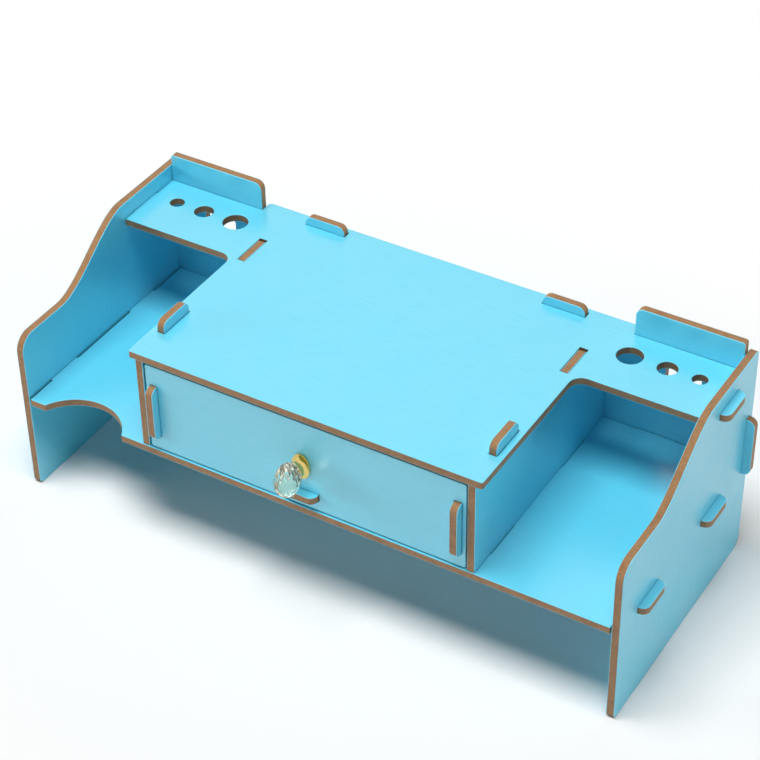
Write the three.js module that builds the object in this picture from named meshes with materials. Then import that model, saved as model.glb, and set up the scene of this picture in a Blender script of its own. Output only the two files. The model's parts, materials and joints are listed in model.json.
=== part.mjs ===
// Desk riser for a monitor, cut from slotted fibreboard, with one drawer.
// X runs along the stand, Y from front to back and Z up. Lengths are in millimetres.

import * as THREE from "three";

// Driving dimensions
const standWidth = 480; // over the outer faces of the side panels
const standDepth = 200;
const boardThickness = 6; // every board is cut from the same sheet
const shelfHeight = 81; // ground to the shelf's top face
const topHeight = 162; // ground to the top board's top face
const bayWidth = 100.5; // side panel's inner face to the divider's outer face
const topOverhang = 5; // the top board's forward part reaches past the dividers by this
const armDepth = 71; // the top board's rear part, which spans the whole width
const backInset = 4.5; // back panel's rear face to the stand's rear edge
const backBelowShelf = 6; // the back panel ends this far under the shelf

// Fits
const fitGap = 0.3; // between boards that touch
const slotPlay = 0.5; // a slot is longer than its tab by this at each end
const tabProud = 6.5; // a through tab stands out of its slot by this
const dividerTopTabProud = 8.8; // and these two kinds stand up out of the top board
const backTopTabProud = 7;
const tabRound = 5.5; // rounding of a through tab's outer corners
const flushSink = 0.3; // a flush tab ends this far below the face
const slotRound = 0.4; // rounding that the cutter leaves in a slot's corners
const flatness = 0.03; // furthest that a facet lies off its arc

// Side panels
const sideFrontDrop = 28; // top board's top face down to the level stretch
const sideBackRise = 13; // top board's top face up to the rear stretch
const shoulderLength = 48; // level stretch behind the front edge
const riseLength = 80; // length of the S-curve
const riseEaseShare = 0.3; // of the S-curve's length, where each handle ends
const riseSteps = 20;
const shoulderRadius = 13;
const toeRadius = 4.5;
const heelRadius = 8;
const sideBackRadius = 3.5;

// Shelf
const shelfEndGap = 1.2; // to each side panel
const shelfTabLength = 31;
const shelfTabFromFront = 41.5; // front edge to the tab's middle
const shelfTabFromBack = 61.5;
const shelfRearTabLength = 29;
const shelfRearTabFromSide = 58.5; // side panel's inner face to the outer tabs' middle
const cupNotchWidth = 67.5;
const cupNotchDepth = 21.5;
const cupNotchFromSide = 48; // side panel's inner face to the notch's middle

// Top board
const topCornerRadius = 1.5;
const innerCornerRadius = 9.5;
const rearCornerRadius = 3;
const armTabFromFront = 10; // the arm's front edge to the tab
const armTabFromBack = 31; // the stand's rear edge to the tab
const penHoleRadii = [5.6, 7.4, 9.6];
const penHoleFromSide = 15.4; // side panel's inner face to the nearest hole's rim
const penHoleSpacing = 11; // from rim to rim
const penHolesFromBack = 34;

// Back panel
const uprightWidth = 81;
const uprightRise = 22; // above the top board
const uprightInnerRadius = 6;
const uprightOuterRadius = 2;
const backSideTabFromFoot = 4; // the back panel's lower edge to the tab
const backSideTabFromTop = 35; // top board's underside to the tab
const backTopTabLength = 33;
const backTopTabFromUpright = 55; // upright's inner edge to the tab's middle
const cableOpeningWidth = 27;
const cableOpeningFromSide = 42.5; // side panel's inner face to the opening's middle
const cableOpeningDrop = 12.5; // top board's underside to the opening's upper edge
const cableOpeningLift = 26.5; // shelf to the opening's lower edge
const cableOpeningRadius = 3;

// Dividers
const dividerFrontInset = 0.6; // behind the stand's front edge
const dividerTopTabLength = 30;
const dividerTopTabFromFront = 43;
const dividerFlushTabLength = 27;
const dividerFlushTabFromBack = 58.5;
const flushSlotTail = 2.5; // the flush tab's slot runs on behind it by this
const dividerFootTabLength = 31;
const dividerFootTabFromFront = 39;
const dividerFootTabFromBack = 58;

// Drawer
const drawerInset = 1.2; // drawer front's face behind the stand's front edge
const drawerEndGap = 1.2; // drawer front to each divider
const drawerTopGap = 2.2; // drawer front to the top board
const drawerFootGap = 0.8; // drawer front to the shelf
const drawerLip = 3.1; // the drawer front's end to the drawer side's outer face
const drawerSideTopGap = 6.7; // drawer sides to the top board
const drawerSideTabFromFoot = 11.2; // drawer front's lower edge to the tab
const drawerSideTabFromTop = 16.8; // drawer front's upper edge to the tab
const drawerRearGap = 3.5; // drawer sides to the back panel
const drawerBackInset = 6.2; // drawer back's rear face to the drawer sides' rear edge
const drawerBackTabMargin = 10; // to the drawer bottom, and to the drawer sides' upper edge
const drawerBottomLift = 9; // shelf to the drawer bottom's underside
const drawerBottomTabLength = 25;
const drawerEdgeTabLength = 30; // tabs of the drawer bottom through the drawer sides
const drawerEdgeTabInset = 36; // from the drawer bottom's front and rear edges

// Knob
const knobLift = 36; // shelf to the knob's axis
const knobOvalShare = 1.5; // the knob is this much taller than it is wide
const flangeRadius = 7;
const flangeEdge = 1.4;
const neckRadius = 3.5;
const neckReach = 5.5;
const cupRadius = 5.4;
const cupReach = 9;
const cupFloorReach = 7;
const cupBoreRadius = 4.4;
const stoneGirdleRadius = 8.9;
const stoneLength = 18.5; // outside the cup
const stoneSides = 12;
const stoneRadiusShares = [0.78, 0.95, 1, 0.88, 0.66, 0.42]; // of the girdle's radius
const stoneReachShares = [0.06, 0.26, 0.5, 0.74, 0.9, 1]; // of the stone's length
const screwRadius = 2;
const screwPlay = 0.4; // around the screw, and in the washer
const screwEngagement = 4.5; // how far the screw runs into the knob's base
const screwTipGap = 1; // beyond the screw's tip
const screwHeadRadius = 4;
const screwHeadHeight = 2.2;
const screwHeadDomeShare = 0.7; // of the head's radius, where its flat end starts
const washerRadius = 5;
const washerThickness = 0.8;
const turnedSides = 40;

// Places worked out from the sizes above
const halfWidth = standWidth / 2;
const halfDepth = standDepth / 2;
const sideInner = halfWidth - boardThickness;
const shelfUnder = shelfHeight - boardThickness;
const topUnder = topHeight - boardThickness;
const armFront = halfDepth - armDepth;
const backRear = halfDepth - backInset;
const backFront = backRear - boardThickness;
const backMiddle = (backFront + backRear) / 2;
const backFoot = shelfUnder - backBelowShelf;
const uprightInner = sideInner - uprightWidth;
const dividerOuter = sideInner - bayWidth;
const dividerInner = dividerOuter - boardThickness;
const dividerMiddle = (dividerInner + dividerOuter) / 2;
const shelfMiddle = (shelfUnder + shelfHeight) / 2;
const topMiddle = (topUnder + topHeight) / 2;
const slotWidth = boardThickness + 2 * fitGap;

const drawerFace = drawerInset - halfDepth;
const drawerFrontRear = drawerFace + boardThickness;
const drawerFrontEnd = dividerInner - drawerEndGap;
const drawerFrontFoot = shelfHeight + drawerFootGap;
const drawerFrontTop = topUnder - drawerTopGap;
const drawerSideOuter = drawerFrontEnd - drawerLip;
const drawerSideInner = drawerSideOuter - boardThickness;
const drawerSideMiddle = (drawerSideOuter + drawerSideInner) / 2;
const drawerSideRear = backFront - drawerRearGap;
const drawerSideFoot = shelfHeight + fitGap;
const drawerSideTop = topUnder - drawerSideTopGap;
const drawerBackRear = drawerSideRear - drawerBackInset;
const drawerBackFront = drawerBackRear - boardThickness;
const drawerBackMiddle = (drawerBackFront + drawerBackRear) / 2;
const drawerBottomUnder = shelfHeight + drawerBottomLift;
const drawerBottomMiddle = drawerBottomUnder + boardThickness / 2;
const drawerBottomTop = drawerBottomUnder + boardThickness;
const drawerBottomFront = drawerFrontRear + fitGap;
const drawerBottomRear = drawerBackFront - fitGap;
const knobHeight = shelfHeight + knobLift;
const knobReach = cupReach + stoneLength;
const screwBoreRadius = screwRadius + screwPlay;
const screwBoreDepth = screwEngagement + screwTipGap;

// The laminate on the boards' faces and the bare fibre on their cut edges
const laminate = new THREE.MeshStandardMaterial({ color: 0x62c6e2, roughness: 0.3, metalness: 0 });
const bareEdge = new THREE.MeshStandardMaterial({ color: 0x8a6a4c, roughness: 0.85, metalness: 0 });
const gold = new THREE.MeshStandardMaterial({ color: 0xd9a94a, roughness: 0.2, metalness: 1 });
const steel = new THREE.MeshStandardMaterial({ color: 0xb9bcc0, roughness: 0.35, metalness: 1 });
const crystal = new THREE.MeshStandardMaterial({
  color: 0xe6f1ee,
  roughness: 0.05,
  metalness: 0,
  transparent: true,
  opacity: 0.5,
});

// Outlines. A corner is [x, y] or [x, y, radius], and an outline is walked with the board on its left.

function facetAngle(radius) {
  return 2 * Math.acos(1 - flatness / radius);
}

function arcPoints(centre, radius, from, to) {
  const steps = Math.ceil(Math.abs(to - from) / facetAngle(radius));
  return Array.from({ length: steps + 1 }, (_, i) => {
    const angle = from + ((to - from) * i) / steps;
    return [centre[0] + radius * Math.cos(angle), centre[1] + radius * Math.sin(angle)];
  });
}

function circle(x, y, radius) {
  return arcPoints([x, y], radius, 0, 2 * Math.PI).slice(1);
}

function rectangle(x, y, width, height, radius = 0) {
  const right = x + width / 2;
  const left = x - width / 2;
  const top = y + height / 2;
  const bottom = y - height / 2;
  return [
    [left, bottom, radius],
    [right, bottom, radius],
    [right, top, radius],
    [left, top, radius],
  ];
}

// A rounded corner takes at most half of each side that it joins.
function roundedCorner(before, corner, after) {
  const at = new THREE.Vector2(corner[0], corner[1]);
  const back = new THREE.Vector2(before[0], before[1]).sub(at);
  const ahead = new THREE.Vector2(after[0], after[1]).sub(at);
  const room = Math.min(back.length(), ahead.length()) / 2;
  back.normalize();
  ahead.normalize();
  const halfAngle = Math.acos(back.dot(ahead)) / 2;
  const run = Math.min(corner[2] / Math.tan(halfAngle), room);
  const radius = run * Math.tan(halfAngle);
  const middle = back.clone().add(ahead).normalize();
  const centre = at.clone().addScaledVector(middle, radius / Math.sin(halfAngle));
  const first = at.clone().addScaledVector(back, run).sub(centre);
  const last = at.clone().addScaledVector(ahead, run).sub(centre);
  const start = first.angle();
  const sweep = Math.sign(first.cross(last)) * (Math.PI - 2 * halfAngle);
  return arcPoints(centre.toArray(), radius, start, start + sweep);
}

function roundOff(corners) {
  return corners.flatMap((corner, i) => {
    const after = corners[(i + 1) % corners.length];
    return corner[2] ? roundedCorner(corners.at(i - 1), corner, after) : [corner];
  });
}

// Tabs along one straight edge, which runs along x or y from start to end.
function tabbedEdge(start, end, tabs) {
  const alongX = start[1] === end[1];
  const way = Math.sign(alongX ? end[0] - start[0] : end[1] - start[1]);
  const place = (along, out) =>
    alongX ? [along, start[1] - way * out] : [start[0] + way * out, along];
  const inOrder = [...tabs].sort((a, b) => way * (a.at - b.at));
  const corners = inOrder.flatMap(({ at, length, reach, round = 0 }) => {
    const near = at - (way * length) / 2;
    const far = at + (way * length) / 2;
    return [
      place(near, 0),
      [...place(near, reach), round],
      [...place(far, reach), round],
      place(far, 0),
    ];
  });
  return [start, ...corners, end];
}

// The middle and the length of a tab that runs from one place to another
function between(from, to) {
  return [(from + to) / 2, to - from];
}

// Closes an outline out of edges that each start where the one before ends.
function joinEdges(...edges) {
  return edges.flatMap((edge) => edge.slice(0, -1));
}

// A slot for a tab that runs along x or along y
function slotAlongX(x, y, tabLength) {
  return rectangle(x, y, tabLength + 2 * slotPlay, slotWidth, slotRound);
}

function slotAlongY(x, y, tabLength) {
  return rectangle(x, y, slotWidth, tabLength + 2 * slotPlay, slotRound);
}

// The setback is the distance from the tab's own board to the board that it goes through.
function throughTab(at, length, proud = tabProud, setback = fitGap) {
  return { at, length, reach: setback + boardThickness + proud, round: tabRound };
}

function flushTab(at, length) {
  return { at, length, reach: fitGap + boardThickness - flushSink };
}

// The right half of a symmetric outline, from front to back, completed with its mirror image.
function bothHalves(rightHalf) {
  const leftHalf = rightHalf.map(([x, ...rest]) => [-x, ...rest]).reverse();
  return [...rightHalf, ...leftHalf];
}

function atBothSides(makeHole, x) {
  return [makeHole(x), makeHole(-x)];
}

function sheet(outline, holes) {
  const toVectors = (corners) => roundOff(corners).map(([x, y]) => new THREE.Vector2(x, y));
  const shape = new THREE.Shape(toVectors(outline));
  shape.holes = holes.map((hole) => new THREE.Path(toVectors(hole)));
  return new THREE.ExtrudeGeometry(shape, { depth: boardThickness, bevelEnabled: false });
}

// Boards in their three attitudes

function levelBoard(name, outline, holes, under) {
  const mesh = new THREE.Mesh(sheet(outline, holes), [laminate, bareEdge]);
  mesh.name = name;
  mesh.position.z = under;
  return mesh;
}

// An upright board that faces front, drawn in x and z
function crossBoard(name, outline, holes, rear) {
  const mesh = new THREE.Mesh(sheet(outline, holes), [laminate, bareEdge]);
  mesh.name = name;
  mesh.rotation.x = Math.PI / 2;
  mesh.position.y = rear;
  return mesh;
}

// An upright board that faces sideways, drawn in y and z
function endBoard(name, outline, holes, middle) {
  const mesh = new THREE.Mesh(sheet(outline, holes), [laminate, bareEdge]);
  mesh.name = name;
  mesh.rotation.set(Math.PI / 2, 0, Math.PI / 2, "ZYX");
  mesh.position.x = middle - boardThickness / 2;
  return mesh;
}

// Side panels

const shelfTabPlaces = [shelfTabFromFront - halfDepth, halfDepth - shelfTabFromBack];
const [armTabPlace, armTabLength] = between(armFront + armTabFromFront, halfDepth - armTabFromBack);
const [backSideTabPlace, backSideTabLength] = between(
  backFoot + backSideTabFromFoot,
  topUnder - backSideTabFromTop,
);

function sidePanelOutline() {
  const riseFront = shoulderLength - halfDepth;
  const riseBack = riseFront + riseLength;
  const ease = riseLength * riseEaseShare;
  const level = topHeight - sideFrontDrop;
  const crown = topHeight + sideBackRise;
  const rise = new THREE.CubicBezierCurve(
    new THREE.Vector2(riseBack, crown),
    new THREE.Vector2(riseBack - ease, crown),
    new THREE.Vector2(riseFront + ease, level),
    new THREE.Vector2(riseFront, level),
  );
  return [
    [-halfDepth, 0, toeRadius],
    [halfDepth, 0, heelRadius],
    [halfDepth, crown, sideBackRadius],
    ...rise.getPoints(riseSteps).map((point) => point.toArray()),
    [-halfDepth, level, shoulderRadius],
  ];
}

function sidePanel(name, side) {
  const slots = [
    ...shelfTabPlaces.map((y) => slotAlongX(y, shelfMiddle, shelfTabLength)),
    slotAlongX(armTabPlace, topMiddle, armTabLength),
    slotAlongY(backMiddle, backSideTabPlace, backSideTabLength),
  ];
  return endBoard(name, sidePanelOutline(), slots, side * (halfWidth - boardThickness / 2));
}

// Dividers

const dividerTopTabPlace = dividerTopTabFromFront - halfDepth;
const dividerFlushTabPlace = halfDepth - dividerFlushTabFromBack;
const dividerFootTabPlaces = [dividerFootTabFromFront - halfDepth, halfDepth - dividerFootTabFromBack];

function divider(name, side) {
  const front = dividerFrontInset - halfDepth;
  const rear = backFront - fitGap;
  const foot = shelfHeight + fitGap;
  const head = topUnder - fitGap;
  const footTabs = dividerFootTabPlaces.map((y) => flushTab(y, dividerFootTabLength));
  const topTab = throughTab(dividerTopTabPlace, dividerTopTabLength, dividerTopTabProud);
  const rearTab = flushTab(dividerFlushTabPlace, dividerFlushTabLength);
  const outline = [
    ...tabbedEdge([front, foot], [rear, foot], footTabs),
    ...tabbedEdge([rear, head], [front, head], [topTab, rearTab]),
  ];
  return endBoard(name, outline, [], side * dividerMiddle);
}

// Shelf

const shelfEnd = sideInner - shelfEndGap;
const shelfRear = backFront - fitGap;
const shelfRearTabX = sideInner - shelfRearTabFromSide;
const shelfRearTabPlaces = [-shelfRearTabX, 0, shelfRearTabX];

function shelf() {
  const sideTabs = shelfTabPlaces.map((y) => throughTab(y, shelfTabLength, tabProud, shelfEndGap));
  const rearTabs = shelfRearTabPlaces.map((x) => flushTab(x, shelfRearTabLength));
  const radius = (cupNotchWidth ** 2 / 4 + cupNotchDepth ** 2) / (2 * cupNotchDepth);
  const centre = [cupNotchFromSide - sideInner, cupNotchDepth - radius - halfDepth];
  const spread = Math.asin(cupNotchWidth / 2 / radius);
  const notch = arcPoints(centre, radius, Math.PI / 2 + spread, Math.PI / 2 - spread);
  const outline = joinEdges(
    tabbedEdge([shelfEnd, -halfDepth], [shelfEnd, shelfRear], sideTabs),
    tabbedEdge([shelfEnd, shelfRear], [-shelfEnd, shelfRear], rearTabs),
    tabbedEdge([-shelfEnd, shelfRear], [-shelfEnd, -halfDepth], sideTabs),
    [[-shelfEnd, -halfDepth], ...notch, [shelfEnd, -halfDepth]],
  );
  const dividerSlots = dividerFootTabPlaces.flatMap((y) =>
    atBothSides((x) => slotAlongY(x, y, dividerFootTabLength), dividerMiddle),
  );
  return levelBoard("shelf", outline, dividerSlots, shelfUnder);
}

// Top board

function topBoard() {
  const armEnd = sideInner - fitGap;
  const uprightLine = backFront - fitGap;
  const centreEnd = dividerOuter + topOverhang;
  const rightHalf = [
    [centreEnd, -halfDepth, topCornerRadius],
    [centreEnd, armFront, innerCornerRadius],
    ...tabbedEdge(
      [armEnd, armFront],
      [armEnd, uprightLine],
      [throughTab(armTabPlace, armTabLength)],
    ),
    [uprightInner - fitGap, uprightLine],
    [uprightInner - fitGap, halfDepth, rearCornerRadius],
  ];
  let rim = sideInner - penHoleFromSide;
  const penHoles = penHoleRadii.flatMap((radius) => {
    const middle = rim - radius;
    rim = middle - radius - penHoleSpacing;
    return atBothSides((x) => circle(x, halfDepth - penHolesFromBack, radius), middle);
  });
  const frontSlot = (x) => slotAlongY(x, dividerTopTabPlace, dividerTopTabLength);
  const flushSlot = (x) =>
    slotAlongY(x, dividerFlushTabPlace + flushSlotTail / 2, dividerFlushTabLength + flushSlotTail);
  const backSlot = (x) => slotAlongX(x, backMiddle, backTopTabLength);
  const holes = [
    ...penHoles,
    ...atBothSides(frontSlot, dividerMiddle),
    ...atBothSides(flushSlot, dividerMiddle),
    ...atBothSides(backSlot, backTopTabX),
  ];
  return levelBoard("top_board", bothHalves(rightHalf), holes, topUnder);
}

// Back panel

const backTopTabX = uprightInner - backTopTabFromUpright;

function backPanel() {
  const end = sideInner - fitGap;
  const head = topUnder - fitGap;
  const crown = topHeight + uprightRise;
  const sideTab = throughTab(backSideTabPlace, backSideTabLength);
  const topTabs = atBothSides(
    (x) => throughTab(x, backTopTabLength, backTopTabProud),
    backTopTabX,
  );
  const outline = joinEdges(
    tabbedEdge([end, backFoot], [end, crown], [sideTab]),
    [
      [end, crown, uprightOuterRadius],
      [uprightInner, crown, uprightInnerRadius],
      [uprightInner, head],
    ],
    tabbedEdge([uprightInner, head], [-uprightInner, head], topTabs),
    [
      [-uprightInner, head],
      [-uprightInner, crown, uprightInnerRadius],
      [-end, crown],
    ],
    tabbedEdge([-end, crown, uprightOuterRadius], [-end, backFoot], [sideTab]),
    [[-end, backFoot], [end, backFoot]],
  );
  const [openingPlace, openingHeight] = between(
    shelfHeight + cableOpeningLift,
    topUnder - cableOpeningDrop,
  );
  const opening = (x) =>
    rectangle(x, openingPlace, cableOpeningWidth, openingHeight, cableOpeningRadius);
  const holes = [
    ...atBothSides(opening, sideInner - cableOpeningFromSide),
    ...shelfRearTabPlaces.map((x) => slotAlongX(x, shelfMiddle, shelfRearTabLength)),
  ];
  return crossBoard("back_panel", outline, holes, backRear);
}

// Drawer

const [drawerSideTabPlace, drawerSideTabLength] = between(
  drawerFrontFoot + drawerSideTabFromFoot,
  drawerFrontTop - drawerSideTabFromTop,
);
const [drawerBackTabPlace, drawerBackTabLength] = between(
  drawerBottomTop + drawerBackTabMargin,
  drawerSideTop - drawerBackTabMargin,
);

function drawerFront() {
  const outline = rectangle(
    0,
    (drawerFrontFoot + drawerFrontTop) / 2,
    2 * drawerFrontEnd,
    drawerFrontTop - drawerFrontFoot,
    topCornerRadius,
  );
  const sideSlot = (x) => slotAlongY(x, drawerSideTabPlace, drawerSideTabLength);
  const holes = [
    ...atBothSides(sideSlot, drawerSideMiddle),
    slotAlongX(0, drawerBottomMiddle, drawerBottomTabLength),
    circle(0, knobHeight, screwBoreRadius),
  ];
  return crossBoard("drawer_front", outline, holes, drawerFrontRear);
}

const drawerEdgeTabPlaces = [
  drawerBottomFront + drawerEdgeTabInset,
  drawerBottomRear - drawerEdgeTabInset,
];

function drawerSide(name, side) {
  const front = drawerFrontRear + fitGap;
  const frontTab = throughTab(drawerSideTabPlace, drawerSideTabLength);
  const outline = [
    ...tabbedEdge([front, drawerSideTop], [front, drawerSideFoot], [frontTab]),
    [drawerSideRear, drawerSideFoot, topCornerRadius],
    [drawerSideRear, drawerSideTop, topCornerRadius],
  ];
  const slots = [
    ...drawerEdgeTabPlaces.map((y) => slotAlongX(y, drawerBottomMiddle, drawerEdgeTabLength)),
    slotAlongY(drawerBackMiddle, drawerBackTabPlace, drawerBackTabLength),
  ];
  return endBoard(name, outline, slots, side * drawerSideMiddle);
}

function drawerBottom() {
  const end = drawerSideInner - fitGap;
  const frontTab = throughTab(0, drawerBottomTabLength);
  const rearTab = flushTab(0, drawerBottomTabLength);
  const edgeTabs = drawerEdgeTabPlaces.map((y) => flushTab(y, drawerEdgeTabLength));
  const outline = joinEdges(
    tabbedEdge([-end, drawerBottomFront], [end, drawerBottomFront], [frontTab]),
    tabbedEdge([end, drawerBottomFront], [end, drawerBottomRear], edgeTabs),
    tabbedEdge([end, drawerBottomRear], [-end, drawerBottomRear], [rearTab]),
    tabbedEdge([-end, drawerBottomRear], [-end, drawerBottomFront], edgeTabs),
  );
  return levelBoard("drawer_bottom", outline, [], drawerBottomUnder);
}

function drawerBack() {
  const end = drawerSideInner - fitGap;
  const sideTab = flushTab(drawerBackTabPlace, drawerBackTabLength);
  const outline = bothHalves(tabbedEdge([end, drawerSideFoot], [end, drawerSideTop], [sideTab]));
  const slot = slotAlongX(0, drawerBottomMiddle, drawerBottomTabLength);
  return crossBoard("drawer_back", outline, [slot], drawerBackRear);
}

// Knob. Its pieces are turned about an axis that leaves the drawer front at a right angle.

function onKnobAxis(name, geometry, material, start) {
  const mesh = new THREE.Mesh(geometry, material);
  mesh.name = name;
  mesh.rotation.x = Math.PI;
  mesh.position.set(0, start, knobHeight);
  return mesh;
}

function turned(profile) {
  const points = profile.map(([radius, reach]) => new THREE.Vector2(radius, reach));
  return new THREE.LatheGeometry(points, turnedSides);
}

// Stretches a piece of the knob upwards into an oval, all but a bore that stays round.
function madeOval(geometry, roundRadius = 0) {
  const places = geometry.getAttribute("position");
  for (let i = 0; i < places.count; i += 1) {
    if (Math.hypot(places.getX(i), places.getZ(i)) > roundRadius + flatness) {
      places.setZ(i, places.getZ(i) * knobOvalShare);
    }
  }
  return geometry;
}

// A flared flange, a waisted neck and a cup that holds the stone
function knobBase() {
  const flare = new THREE.QuadraticBezierCurve(
    new THREE.Vector2(flangeRadius, flangeEdge),
    new THREE.Vector2(neckRadius, flangeEdge),
    new THREE.Vector2(neckRadius, neckReach),
  );
  const profile = [
    [0, screwBoreDepth],
    [screwBoreRadius, screwBoreDepth],
    [screwBoreRadius, 0],
    [flangeRadius, 0],
    ...flare.getPoints(riseSteps / 2).map((point) => point.toArray()),
    [cupRadius, cupFloorReach],
    [cupRadius, cupReach],
    [cupBoreRadius, cupReach],
    [cupBoreRadius, cupFloorReach],
    [0, cupFloorReach],
  ];
  const base = madeOval(turned(profile), screwBoreRadius);
  base.computeVertexNormals();
  return onKnobAxis("knob_base", base, gold, drawerFace - fitGap);
}

// Rings of points, each turned by half a side from the last, joined by triangular facets
function facetedStone(rings, sides) {
  const positions = rings.flatMap(([radius, reach], ring) =>
    Array.from({ length: sides }, (_, i) => {
      const angle = (2 * Math.PI * (i + (ring % 2) / 2)) / sides;
      return [radius * Math.cos(angle), reach, -radius * Math.sin(angle)];
    }).flat(),
  );
  const index = [];
  for (let ring = 0; ring < rings.length - 1; ring += 1) {
    for (let i = 0; i < sides; i += 1) {
      const low = ring * sides;
      const high = low + sides;
      const next = (i + 1) % sides;
      if (ring % 2 === 0) {
        index.push(low + i, low + next, high + i, low + next, high + next, high + i);
      } else {
        index.push(low + i, high + next, high + i, low + i, low + next, high + next);
      }
    }
  }
  const last = (rings.length - 1) * sides;
  for (let i = 1; i < sides - 1; i += 1) {
    index.push(0, i + 1, i, last, last + i, last + i + 1);
  }
  const geometry = new THREE.BufferGeometry();
  geometry.setAttribute("position", new THREE.Float32BufferAttribute(positions, 3));
  geometry.setIndex(index);
  return geometry;
}

// The stone's stem stands in the cup, and its body opens out past the rim.
function knobCrystal() {
  const stemRadius = cupBoreRadius - fitGap;
  const rings = [
    [stemRadius, cupFloorReach + fitGap],
    [stemRadius, cupReach + fitGap],
    ...stoneRadiusShares.map((share, i) => [
      stoneGirdleRadius * share,
      cupReach + stoneLength * stoneReachShares[i],
    ]),
  ];
  const stone = madeOval(facetedStone(rings, stoneSides));
  return onKnobAxis("knob_crystal", stone, crystal, drawerFace - fitGap);
}

const washerStart = drawerFrontRear + fitGap + washerThickness;
const screwHeadStart = washerStart + fitGap;

function knobWasher() {
  const profile = [
    [screwBoreRadius, 0],
    [washerRadius, 0],
    [washerRadius, washerThickness],
    [screwBoreRadius, washerThickness],
    [screwBoreRadius, 0],
  ];
  return onKnobAxis("knob_washer", turned(profile), steel, washerStart);
}

function knobScrew() {
  const tip = screwHeadStart - drawerFace + fitGap + screwEngagement;
  const profile = [
    [0, -screwHeadHeight],
    [screwHeadRadius * screwHeadDomeShare, -screwHeadHeight],
    [screwHeadRadius, -screwHeadHeight / 2],
    [screwHeadRadius, 0],
    [screwRadius, 0],
    [screwRadius, tip],
    [0, tip],
  ];
  return onKnobAxis("knob_screw", turned(profile), steel, screwHeadStart);
}

// The whole stand, with its origin on the ground in the middle of everything, knob included

const drawer = new THREE.Group();
drawer.add(
  drawerFront(),
  drawerSide("drawer_side_left", -1),
  drawerSide("drawer_side_right", 1),
  drawerBottom(),
  drawerBack(),
  knobBase(),
  knobCrystal(),
  knobWasher(),
  knobScrew(),
);

const stand = new THREE.Group();
stand.add(
  sidePanel("side_panel_left", -1),
  sidePanel("side_panel_right", 1),
  shelf(),
  topBoard(),
  backPanel(),
  divider("divider_left", -1),
  divider("divider_right", 1),
  drawer,
);
const frontReach = knobReach + fitGap - drawerFace;
stand.position.y = (frontReach - halfDepth) / 2;

export default stand;
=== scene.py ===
"""Monitor stand of slotted, laminated fibreboard, with one drawer and a crystal knob."""

import json
import math

import bmesh
import bpy
from mathutils import Matrix, Vector
from mathutils.geometry import tessellate_polygon


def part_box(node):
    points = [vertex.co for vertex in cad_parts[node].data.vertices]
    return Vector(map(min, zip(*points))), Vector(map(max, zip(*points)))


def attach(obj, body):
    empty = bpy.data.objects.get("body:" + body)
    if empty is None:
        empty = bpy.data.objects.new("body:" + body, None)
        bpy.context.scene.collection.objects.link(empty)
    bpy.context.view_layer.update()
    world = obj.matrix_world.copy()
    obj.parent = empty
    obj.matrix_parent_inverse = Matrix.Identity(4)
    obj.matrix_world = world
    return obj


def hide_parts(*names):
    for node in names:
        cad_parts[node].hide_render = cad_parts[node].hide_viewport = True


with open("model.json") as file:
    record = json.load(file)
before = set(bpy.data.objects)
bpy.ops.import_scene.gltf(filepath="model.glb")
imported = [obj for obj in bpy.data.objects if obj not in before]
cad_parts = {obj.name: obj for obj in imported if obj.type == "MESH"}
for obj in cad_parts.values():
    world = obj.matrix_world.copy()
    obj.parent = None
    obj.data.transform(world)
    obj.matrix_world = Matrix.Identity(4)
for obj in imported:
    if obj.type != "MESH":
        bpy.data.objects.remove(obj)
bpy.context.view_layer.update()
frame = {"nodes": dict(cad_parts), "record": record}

MM = 0.001

# Camera: where the photograph was taken from
CAMERA_PLACE = (0.6574, -1.0548, 1.1124)
CAMERA_AZIMUTH = math.radians(31.528)
CAMERA_ELEVATION = math.radians(38.287)
CAMERA_ROLL = math.radians(-0.9415)
FOCAL_LENGTH_MM = 108.31
SENSOR_WIDTH_MM = 36

# Boards
LAMINATE_THICKNESS = 0.45 * MM
CORE_STEP = 0.05 * MM  # the fibre core lies this far behind the laminate's edge
ROUNDING_STEPS = 3
CORNER_ANGLE = math.radians(35)  # steeper corners than this are sharp
PLACES = 7  # decimals of a metre at which two of a mesh's corners are the same
UPWARD = 0.99  # least part of a face's normal that points up, if the face is an upper one

# Knob, screw and washer
WELD_DISTANCE = 0.01 * MM
FLAT_ANGLE = math.radians(0.5)
KNOB_EDGE_ROUNDING = 0.25 * MM
SCREW_EDGE_ROUNDING = 0.12 * MM
BEVEL_SEGMENTS = 2

# Colours are linear.
LAMINATE = (0.12, 0.605, 0.785, 1)
LAMINATE_DARK = (0.105, 0.575, 0.76, 1)
FIBRE = (0.375, 0.212, 0.10, 1)
FIBRE_DARK = (0.225, 0.116, 0.05, 1)
GOLD = (0.90, 0.70, 0.26, 1)
GOLD_DULL = (0.60, 0.42, 0.12, 1)
STEEL = (0.62, 0.62, 0.64, 1)
STEEL_DULL = (0.5, 0.5, 0.52, 1)
CRYSTAL = (0.97, 0.94, 0.76, 1)
WHITE = (1, 1, 1, 1)

# Roughness: least and most, or one value
LAMINATE_ROUGHNESS = (0.30, 0.38)
FIBRE_ROUGHNESS = 0.55
GOLD_ROUGHNESS = (0.10, 0.20)
STEEL_ROUGHNESS = (0.25, 0.45)
CRYSTAL_ROUGHNESS = (0.0, 0.03)
FLOOR_ROUGHNESS = 1.0

LAMINATE_IOR = 2.3  # high for a lacquer, to mirror as strongly as in the photograph
FIBRE_IOR = 1.5
CRYSTAL_IOR = 1.52
CRYSTAL_TRANSMISSION = 0.94

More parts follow.
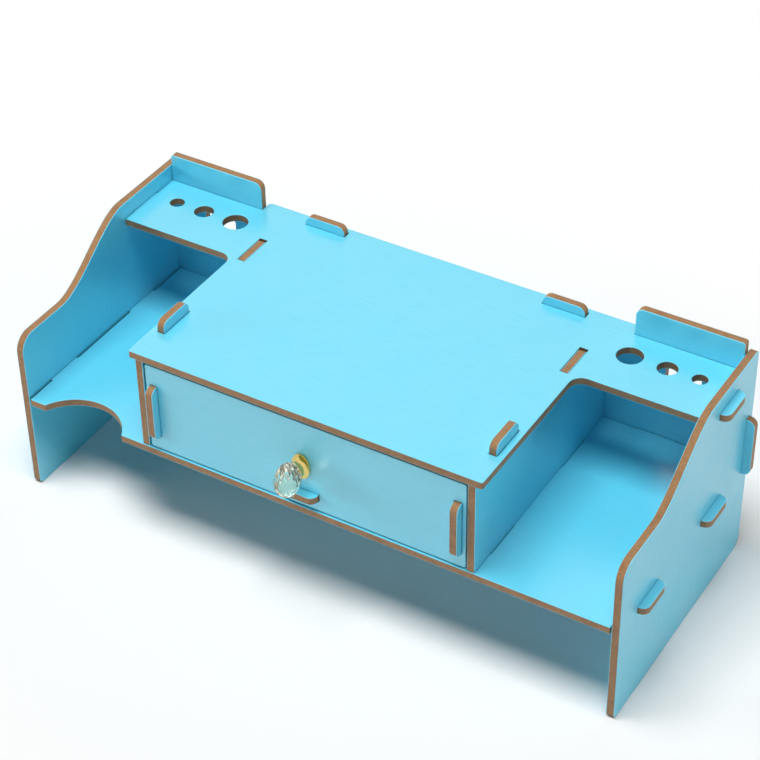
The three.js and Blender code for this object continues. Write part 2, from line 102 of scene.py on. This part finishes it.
# Noise: scale per metre, number of octaves, and the share that each octave keeps of the last
GRAIN = (60.0, 4.0, 0.55)
CLOUDS = (9.0, 2.0, 0.55)
ORANGE_PEEL = (420.0, 1.0, 0.55)
SCUFFS = (35.0, 5.0, 0.55)
FIBRES = (1400.0, 4.0, 0.7)
PATCHES = (120.0, 3.0, 0.55)
SMEARS = (300.0, 4.0, 0.55)
POLISHING = (2600.0, 2.0, 0.55)
SPANGLE = (900.0, 4.0, 0.55)
HAZE = (700.0, 3.0, 0.55)
GRAIN_STRETCH = 14  # the grain is this many times as long as it is wide

# Values of a noise that count as none, and as all of it
GRAIN_LIMITS = (0.35, 0.65)
CLOUD_LIMITS = (0.3, 0.9)
SCUFF_LIMITS = (0.45, 0.75)
FIBRE_LIMITS = (0.35, 0.65)
PATCH_LIMITS = (0.45, 0.8)

# Heights of the bumps
ORANGE_PEEL_HEIGHT = 0.004 * MM
FIBRE_HEIGHT = 0.12 * MM
POLISHING_HEIGHT = 0.002 * MM

BODY_OF = {
    node: body for body, nodes in frame["record"]["behaviour"]["bodies"].items() for node in nodes
}

# The direction through each board's thickness, and the direction of its grain
BOARD_AXES = {
    "side_panel_left": ("X", "Z"),
    "side_panel_right": ("X", "Z"),
    "shelf": ("Z", "X"),
    "top_board": ("Z", "X"),
    "back_panel": ("Y", "X"),
    "divider_left": ("X", "Y"),
    "divider_right": ("X", "Y"),
    "drawer_front": ("Y", "X"),
    "drawer_side_left": ("X", "Y"),
    "drawer_side_right": ("X", "Y"),
    "drawer_bottom": ("Z", "X"),
    "drawer_back": ("Y", "X"),
}

# Light: a name, its place, its width and height, and its power in watts
SOFTBOXES = [
    ("key_softbox", (-0.05, -0.56, 3.18), (2.2, 1.3), 121.0),
    ("left_softbox", (-2.30, -1.20, 0.45), (1.4, 0.7), 35.0),
    ("right_softbox", (2.50, 0.20, 0.40), (1.4, 0.7), 12.0),
    ("back_softbox", (0.0, 2.70, 0.30), (1.8, 0.4), 16.0),
]
LIT_POINT = (0.0, 0.0, 0.05)
AMBIENT_STRENGTH = 0.02

# Floor
FLOOR_SIZE = 12.0
FLOOR_WHITE = (0.81, 0.82, 0.82, 1)
BACKDROP_SHARES = (0.7, 1.0, 0.0)  # the lit floor's outline is drawn out along the stand
BACKDROP_STARTS = 0.22
BACKDROP_FULL = 0.45


# Node helpers


def add_node(tree, kind, inputs, **settings):
    """Makes a node; an input is a value, or a socket that is linked to it."""
    made = tree.nodes.new(kind)
    for key, value in settings.items():
        setattr(made, key, value)
    for key, value in inputs.items():
        if isinstance(value, bpy.types.NodeSocket):
            tree.links.new(value, made.inputs[key])
        else:
            made.inputs[key].default_value = value
    return made


# A Mix node has sockets for each kind of data, so those in use go by their numbers.


def mix_colours(tree, factor, first, second):
    mixed = add_node(tree, "ShaderNodeMix", {0: factor, 6: first, 7: second}, data_type="RGBA")
    return mixed.outputs[2]


def mix_values(tree, factor, first, second):
    mixed = add_node(tree, "ShaderNodeMix", {0: factor, 2: first, 3: second}, data_type="FLOAT")
    return mixed.outputs[0]


def noise(tree, place, scale, octaves, roughness):
    return add_node(
        tree,
        "ShaderNodeTexNoise",
        {"Vector": place, "Scale": scale, "Detail": octaves, "Roughness": roughness},
    ).outputs["Fac"]


def ramp(tree, value, low, high):
    """Maps a value from between low and high to between 0 and 1, with soft ends."""
    return add_node(
        tree,
        "ShaderNodeMapRange",
        {"Value": value, "From Min": low, "From Max": high},
        interpolation_type="SMOOTHSTEP",
    ).outputs["Result"]


def bump(tree, noise_value, height):
    return add_node(
        tree,
        "ShaderNodeBump",
        {"Strength": 1.0, "Distance": height, "Height": noise_value},
    ).outputs["Normal"]


def empty_material(name):
    """A material, its node tree, and the place on the object that its textures follow"""
    material = bpy.data.materials.new(name)
    material.use_nodes = True
    tree = material.node_tree
    tree.nodes.clear()
    place = add_node(tree, "ShaderNodeTexCoord", {}).outputs["Object"]
    return material, tree, place


def surface(tree, shader):
    add_node(tree, "ShaderNodeOutputMaterial", {"Surface": shader})


def principled_surface(tree, inputs):
    surface(tree, add_node(tree, "ShaderNodeBsdfPrincipled", inputs).outputs["BSDF"])


# Materials


def laminate_material(grain_axis):
    """Glossy printed laminate with a faint grain along one axis"""
    material, tree, place = empty_material(f"laminate_grain_{grain_axis}")
    stretch = [1 if axis == grain_axis else GRAIN_STRETCH for axis in "XYZ"]
    along_grain = add_node(
        tree,
        "ShaderNodeMapping",
        {"Vector": place, "Scale": stretch},
    ).outputs["Vector"]
    grain = ramp(tree, noise(tree, along_grain, *GRAIN), *GRAIN_LIMITS)
    clouds = ramp(tree, noise(tree, place, *CLOUDS), *CLOUD_LIMITS)
    scuffs = ramp(tree, noise(tree, place, *SCUFFS), *SCUFF_LIMITS)
    tone = mix_colours(tree, grain, LAMINATE_DARK, LAMINATE)
    tone = mix_colours(tree, clouds, tone, LAMINATE_DARK)
    principled_surface(
        tree,
        {
            "Base Color": tone,
            "Roughness": mix_values(tree, scuffs, *LAMINATE_ROUGHNESS),
            "IOR": LAMINATE_IOR,
            "Normal": bump(tree, noise(tree, place, *ORANGE_PEEL), ORANGE_PEEL_HEIGHT),
        },
    )
    return material


def bare_edge_material():
    """Cut fibreboard: matt, felted, a little darker in patches"""
    material, tree, place = empty_material("bare_fibre_edge")
    fibres = noise(tree, place, *FIBRES)
    patches = ramp(tree, noise(tree, place, *PATCHES), *PATCH_LIMITS)
    tone = mix_colours(tree, ramp(tree, fibres, *FIBRE_LIMITS), FIBRE_DARK, FIBRE)
    principled_surface(
        tree,
        {
            "Base Color": mix_colours(tree, patches, tone, FIBRE_DARK),
            "Roughness": FIBRE_ROUGHNESS,
            "IOR": FIBRE_IOR,
            "Normal": bump(tree, fibres, FIBRE_HEIGHT),
        },
    )
    return material


def gold_material():
    """Polished gold plate with smears"""
    material, tree, place = empty_material("polished_gold")
    smears = noise(tree, place, *SMEARS)
    principled_surface(
        tree,
        {
            "Base Color": mix_colours(tree, smears, GOLD, GOLD_DULL),
            "Metallic": 1.0,
            "Roughness": mix_values(tree, smears, *GOLD_ROUGHNESS),
            "Normal": bump(tree, noise(tree, place, *POLISHING), POLISHING_HEIGHT),
        },
    )
    return material


def steel_material():
    material, tree, place = empty_material("zinc_plated_steel")
    spangle = noise(tree, place, *SPANGLE)
    principled_surface(
        tree,
        {
            "Base Color": mix_colours(tree, spangle, STEEL, STEEL_DULL),
            "Metallic": 1.0,
            "Roughness": mix_values(tree, spangle, *STEEL_ROUGHNESS),
        },
    )
    return material


def crystal_material():
    material, tree, place = empty_material("cut_crystal")
    haze = noise(tree, place, *HAZE)
    principled_surface(
        tree,
        {
            "Base Color": CRYSTAL,
            "Roughness": mix_values(tree, haze, *CRYSTAL_ROUGHNESS),
            "IOR": CRYSTAL_IOR,
            "Transmission Weight": CRYSTAL_TRANSMISSION,
        },
    )
    return material


def seen_directly(tree):
    """1 for what is seen, mirrored or looked at through glass, and 0 for light that it throws"""
    rays = add_node(tree, "ShaderNodeLightPath", {}).outputs
    seen = rays["Is Camera Ray"]
    for other in ("Is Glossy Ray", "Is Transmission Ray"):
        seen = add_node(
            tree,
            "ShaderNodeMath",
            {0: seen, 1: rays[other]},
            operation="MAXIMUM",
        ).outputs["Value"]
    return seen


def floor_material():
    """A white floor that keeps the stand's shadow and turns into a plain white backdrop around it"""
    material, tree, place = empty_material("studio_floor")
    drawn_in = add_node(
        tree,
        "ShaderNodeVectorMath",
        {0: place, 1: BACKDROP_SHARES},
        operation="MULTIPLY",
    ).outputs["Vector"]
    away = add_node(tree, "ShaderNodeVectorMath", {0: drawn_in}, operation="LENGTH").outputs["Value"]
    backdrop = ramp(tree, away, BACKDROP_STARTS, BACKDROP_FULL)
    backdrop = mix_values(tree, seen_directly(tree), 0.0, backdrop)
    lit = add_node(
        tree,
        "ShaderNodeBsdfDiffuse",
        {"Color": FLOOR_WHITE, "Roughness": FLOOR_ROUGHNESS},
    ).outputs["BSDF"]
    white = add_node(
        tree,
        "ShaderNodeEmission",
        {"Color": WHITE, "Strength": 1.0},
    ).outputs["Emission"]
    mixed = add_node(tree, "ShaderNodeMixShader", {0: backdrop, 1: lit, 2: white})
    surface(tree, mixed.outputs["Shader"])
    return material


# For both kinds of piece


def sharpen(mesh, corner_angle):
    """Marks the corners that are steeper than the angle as sharp."""
    for edge in mesh.edges:
        edge.smooth = edge.calc_face_angle(0) < corner_angle


def finish_piece(mesh, name, node_name):
    """Turns a bmesh into an object that replaces a node and rides its body."""
    data = bpy.data.meshes.new(name)
    mesh.to_mesh(data)
    mesh.free()
    piece = bpy.data.objects.new(name, data)
    bpy.context.scene.collection.objects.link(piece)
    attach(piece, BODY_OF[node_name])
    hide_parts(node_name)
    return piece


# Boards, built again from the frame's solids with rounded laminate edges


def face_outlines(mesh, axis):
    """The outlines of a board's upper face along an axis, each with the board on its left

    They are made of the edges that only one of that face's triangles has. The dictionaries keep
    their order, so the outlines come out the same in each run.
    """
    up = "XYZ".index(axis)
    first, second = (up + 1) % 3, (up + 2) % 3
    level = max(vertex.co[up] for vertex in mesh.vertices)

    def corner(index):
        place = mesh.vertices[index].co
        return (round(place[first], PLACES), round(place[second], PLACES))

    follows = {}
    for polygon in mesh.polygons:
        if polygon.normal[up] < UPWARD or abs(polygon.center[up] - level) > LAMINATE_THICKNESS:
            continue
        corners = [corner(index) for index in polygon.vertices]
        for start, end in zip(corners, corners[1:] + corners[:1]):
            if follows.get(end, {}).pop(start, None) is None:
                follows.setdefault(start, {})[end] = True
    outlines = []
    while any(follows.values()):
        start = next(place for place, ends in follows.items() if ends)
        outline = [start]
        place = follows[start].popitem()[0]
        while place != start:
            outline.append(place)
            place = follows[place].popitem()[0]
        outlines.append([Vector(place) for place in outline])
    return outlines


def inset(outline, distance):
    """Moves an outline into the board by a distance."""
    moved = []
    for before, here, after in zip(outline[-1:] + outline[:-1], outline, outline[1:] + outline[:1]):
        arriving = (here - before).normalized().orthogonal()
        leaving = (after - here).normalized().orthogonal()
        moved.append(here + (arriving + leaving) * (distance / (1 + arriving.dot(leaving))))
    return moved


def edge_profile(low, high):
    """The rings from a board's upper face over its edge to the lower face

    Each has its inset, its height, and whether the wall below it is laminate.
    """
    quarter = []
    for step in range(ROUNDING_STEPS + 1):
        angle = math.pi / 2 * step / ROUNDING_STEPS
        quarter.append((
            LAMINATE_THICKNESS * (1 - math.sin(angle)),
            LAMINATE_THICKNESS * (1 - math.cos(angle)),
        ))
    upper = [(back, high - down, True) for back, down in quarter]
    lower = [(back, low + down, True) for back, down in reversed(quarter)]
    upper[-1] = (*upper[-1][:2], False)
    core = [
        (CORE_STEP, high - LAMINATE_THICKNESS, False),
        (CORE_STEP, low + LAMINATE_THICKNESS, True),
    ]
    return upper + core + lower


def make_board(name, axis):
    up = "XYZ".index(axis)
    low, high = (corner[up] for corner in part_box(name))
    outlines = face_outlines(frame["nodes"][name].data, axis)
    profile = edge_profile(low, high)
    mesh = bmesh.new()

    def vertex(place, height):
        spot = [0, 0, 0]
        spot[up] = height
        spot[(up + 1) % 3], spot[(up + 2) % 3] = place
        return mesh.verts.new(spot)

    rings = []
    for back, height, _ in profile:
        rings.append([[vertex(place, height) for place in inset(line, back)] for line in outlines])

    # Walls
    for (_, _, is_laminate), ring, next_ring in zip(profile, rings, rings[1:]):
        for over, under in zip(ring, next_ring):
            for i in range(len(over)):
                j = (i + 1) % len(over)
                wall = mesh.faces.new((over[i], under[i], under[j], over[j]))
                wall.smooth = True
                wall.material_index = 0 if is_laminate else 1

    # Upper and lower face
    flat = [[place.to_3d() for place in inset(line, profile[0][0])] for line in outlines]
    spots = [place for line in flat for place in line]
    for ring, side in ((rings[0], 1), (rings[-1], -1)):
        corners = [corner for line in ring for corner in line]
        for triangle in tessellate_polygon(flat):
            a, b, c = (spots[i] for i in triangle)
            turn = (b - a).cross(c - a).z * side
            order = triangle if turn > 0 else triangle[::-1]
            mesh.faces.new([corners[i] for i in order])

    mesh.normal_update()
    sharpen(mesh, CORNER_ANGLE)
    return finish_piece(mesh, f"{name}_board", name)


def dress_boards():
    bare = bare_edge_material()
    faces = {}
    for name, (axis, grain) in BOARD_AXES.items():
        if grain not in faces:
            faces[grain] = laminate_material(grain)
        board = make_board(name, axis)
        board.data.materials.append(faces[grain])
        board.data.materials.append(bare)


# Knob, screw and washer, taken from the frame's solids and finished


def joined_mesh(name):
    """A bmesh of a node's solid, whose triangles share their corners"""
    mesh = bmesh.new()
    mesh.from_mesh(frame["nodes"][name].data)
    bmesh.ops.remove_doubles(mesh, verts=mesh.verts, dist=WELD_DISTANCE)
    bmesh.ops.dissolve_limit(
        mesh,
        angle_limit=FLAT_ANGLE,
        verts=mesh.verts,
        edges=mesh.edges,
        delimit={"NORMAL"},
    )
    return mesh


def shade(mesh, corner_angle):
    """Smooth over corners that are flatter than the angle, and sharp elsewhere"""
    for face in mesh.faces:
        face.smooth = True
    sharpen(mesh, corner_angle)


def add_bevel(piece, width):
    bevel = piece.modifiers.new("rounded edges", "BEVEL")
    bevel.width = width
    bevel.segments = BEVEL_SEGMENTS
    bevel.limit_method = "ANGLE"
    bevel.angle_limit = CORNER_ANGLE
    bevel.harden_normals = True


def dress_knob():
    base = joined_mesh("knob_base")
    shade(base, CORNER_ANGLE)
    piece = finish_piece(base, "knob_base_gold", "knob_base")
    piece.data.materials.append(gold_material())
    add_bevel(piece, KNOB_EDGE_ROUNDING)

    stone = joined_mesh("knob_crystal")
    shade(stone, 0)
    piece = finish_piece(stone, "knob_crystal_cut", "knob_crystal")
    piece.data.materials.append(crystal_material())

    steel = steel_material()
    for name in ("knob_screw", "knob_washer"):
        turned = joined_mesh(name)
        shade(turned, CORNER_ANGLE)
        piece = finish_piece(turned, f"{name}_plated", name)
        piece.data.materials.append(steel)
        add_bevel(piece, SCREW_EDGE_ROUNDING)


# Floor, light and camera


def make_floor():
    half = FLOOR_SIZE / 2
    corners = [(-half, -half, 0), (half, -half, 0), (half, half, 0), (-half, half, 0)]
    mesh = bpy.data.meshes.new("floor")
    mesh.from_pydata(corners, [], [(0, 1, 2, 3)])
    mesh.materials.append(floor_material())
    floor = bpy.data.objects.new("floor", mesh)
    bpy.context.scene.collection.objects.link(floor)


def make_softboxes():
    """Area lamps that are neither seen nor mirrored"""
    for name, place, (width, height), power in SOFTBOXES:
        light = bpy.data.lights.new(name, "AREA")
        light.shape = "RECTANGLE"
        light.size = width
        light.size_y = height
        light.energy = power
        softbox = bpy.data.objects.new(name, light)
        softbox.location = place
        softbox.visible_camera = False
        softbox.visible_glossy = False
        aim = Vector(LIT_POINT) - Vector(place)
        softbox.rotation_euler = aim.to_track_quat("-Z", "Y").to_euler()
        bpy.context.scene.collection.objects.link(softbox)


def make_world():
    """Plain white where it is seen, mirrored or looked at through glass, and dimmer as a light"""
    world = bpy.data.worlds.new("studio")
    bpy.context.scene.world = world
    world.use_nodes = True
    tree = world.node_tree
    tree.nodes.clear()
    strength = mix_values(tree, seen_directly(tree), AMBIENT_STRENGTH, 1.0)
    background = add_node(tree, "ShaderNodeBackground", {"Color": WHITE, "Strength": strength})
    add_node(tree, "ShaderNodeOutputWorld", {"Surface": background.outputs["Background"]})


def make_camera():
    data = bpy.data.cameras.new("camera")
    data.lens = FOCAL_LENGTH_MM
    data.sensor_width = SENSOR_WIDTH_MM
    camera = bpy.data.objects.new("camera", data)
    turn = Matrix.Rotation(CAMERA_AZIMUTH, 4, "Z")
    tilt = Matrix.Rotation(math.pi / 2 - CAMERA_ELEVATION, 4, "X")
    roll = Matrix.Rotation(CAMERA_ROLL, 4, "Z")
    camera.matrix_world = Matrix.Translation(CAMERA_PLACE) @ turn @ tilt @ roll
    bpy.context.scene.collection.objects.link(camera)
    bpy.context.scene.camera = camera


make_camera()
make_world()
make_softboxes()
make_floor()
dress_boards()
dress_knob()
bpy.context.scene.view_settings.view_transform = "Standard"
